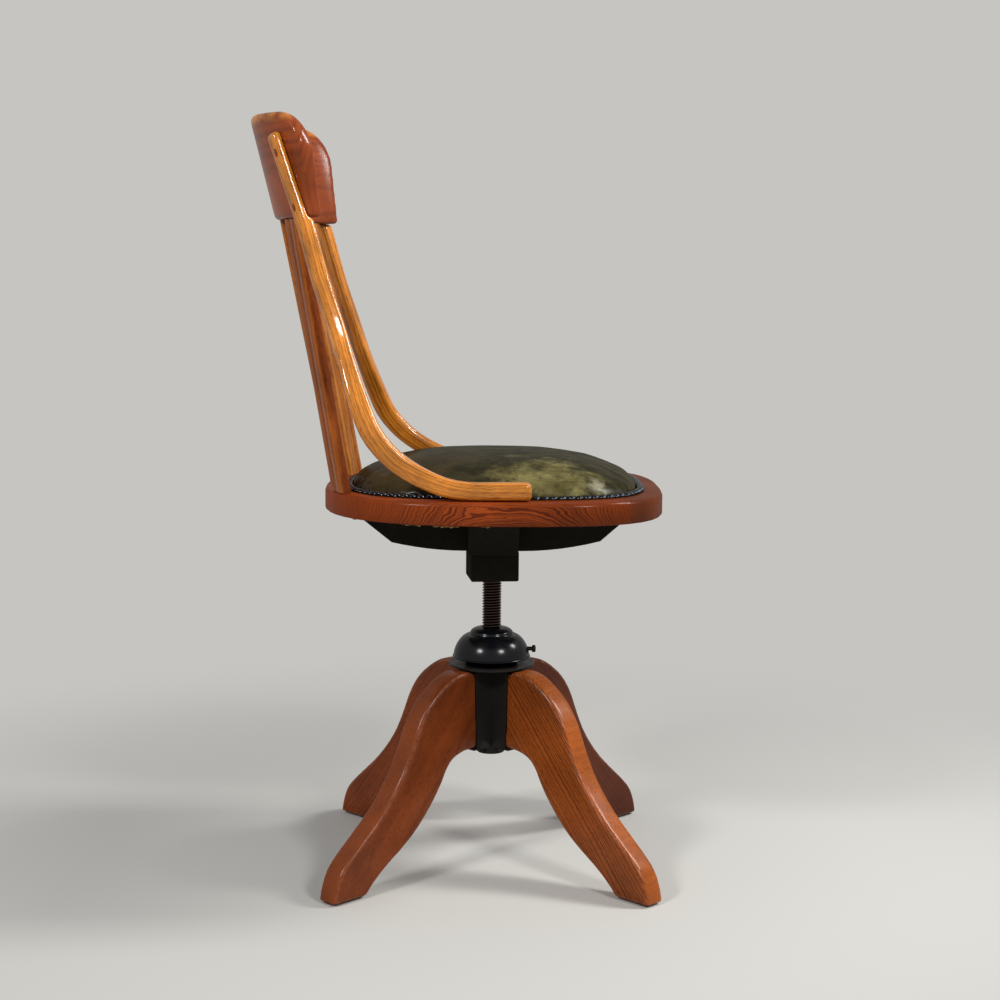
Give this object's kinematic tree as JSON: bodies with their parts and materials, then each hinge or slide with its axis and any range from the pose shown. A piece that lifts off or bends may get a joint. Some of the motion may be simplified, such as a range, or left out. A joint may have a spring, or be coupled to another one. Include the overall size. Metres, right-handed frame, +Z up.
{
  "type": "bankers swivel chair",
  "caption": "Leather seat in a hardwood frame with bent arms and a slatted back, on a threaded spindle that swivels and screws up and down in a cast hub with shaped legs.",
  "frame": {"origin": "on the floor, under the middle of the bounding box", "axes": "+Z up, the sitter faces -Y, the sitter's left is +X"},
  "size_m": [0.428, 0.5254, 0.963],
  "materials": {
    "cast_iron": "gloss black japanned iron, worn bright on rims",
    "leg_wood": "reddish-brown hardwood, old varnish, satin",
    "bright_steel": "worn steel",
    "dark_steel": "dark brown oiled steel",
    "black_wood": "black painted hardwood, satin",
    "rail_wood": "reddish-brown oak, satin varnish",
    "crest_wood": "deep reddish-brown hardwood, satin gloss",
    "bent_wood": "golden-orange oak, satin varnish",
    "jute": "plain woven jute",
    "horsehair": "curled horsehair pad",
    "olive_leather": "dark olive green leather, mottled, glossy"
  },
  "bodies": {
    "base": {"hub_casting": "cast_iron", "leg_rear_left": "leg_wood", "leg_rear_right": "leg_wood", "leg_front_right": "leg_wood", "leg_front_left": "leg_wood", "foot_glide_rear_left": "bright_steel", "foot_glide_rear_right": "bright_steel", "foot_glide_front_right": "bright_steel", "foot_glide_front_left": "bright_steel", "leg_screw_rear_left": "dark_steel", "leg_screw_rear_right": "dark_steel", "leg_screw_front_right": "dark_steel", "leg_screw_front_left": "dark_steel"},
    "nut": {"height_nut": "cast_iron"},
    "locking_screw": {"set_screw": "dark_steel"},
    "riser": {"spindle_stop_collar": "dark_steel"},
    "seat": {"spindle": "dark_steel", "spindle_block": "cast_iron", "block_screw_1": "dark_steel", "block_screw_2": "dark_steel", "block_screw_3": "dark_steel", "block_screw_4": "dark_steel", "seat_rail_right": "rail_wood", "seat_rail_front": "rail_wood", "seat_rail_rear": "rail_wood", "seat_rail_left": "rail_wood", "bearer_side_to_side": "black_wood", "bearer_front_to_back": "black_wood", "bearer_screw_1": "dark_steel", "bearer_screw_2": "dark_steel", "bearer_screw_3": "dark_steel", "bearer_screw_4": "dark_steel", "bearer_screw_5": "dark_steel", "bearer_screw_6": "dark_steel", "bearer_screw_7": "dark_steel", "bearer_screw_8": "dark_steel", "crest_rail": "crest_wood", "back_slat_right": "bent_wood", "back_slat_centre": "bent_wood", "back_slat_left": "bent_wood", "arm_left": "bent_wood", "arm_right": "bent_wood", "arm_screw_1": "dark_steel", "arm_screw_2": "dark_steel", "arm_screw_3": "dark_steel", "arm_screw_4": "dark_steel", "webbing": "jute", "seat_stuffing": "horsehair", "seat_leather": "olive_leather", "bottom_lining": "jute"}
  },
  "joints": [
    {"name": "swivel", "type": "hinge", "parent": "base", "child": "nut", "pos_m": [0, -0.04671, 0.262], "axis": [0, 0, 1], "continuous": true},
    {"name": "set_screw_turn", "type": "hinge", "parent": "nut", "child": "locking_screw", "pos_m": [0, -0.09671, 0.28], "axis": [0, -1, 0], "range_deg": [0, 540]},
    {"name": "seat_height", "type": "slide", "parent": "nut", "child": "riser", "axis": [0, 0, 1], "range_m": [-0.0545, 0.0364]},
    {"name": "screw_turn", "type": "hinge", "parent": "riser", "child": "seat", "pos_m": [0, -0.04671, 0.375], "axis": [0, 0, 1], "range_deg": [-5400, 3600]}
  ],
  "couplings": [
    {"joint": "seat_height", "follows": "screw_turn", "m_per_rad": 0.00057774}
  ]
}
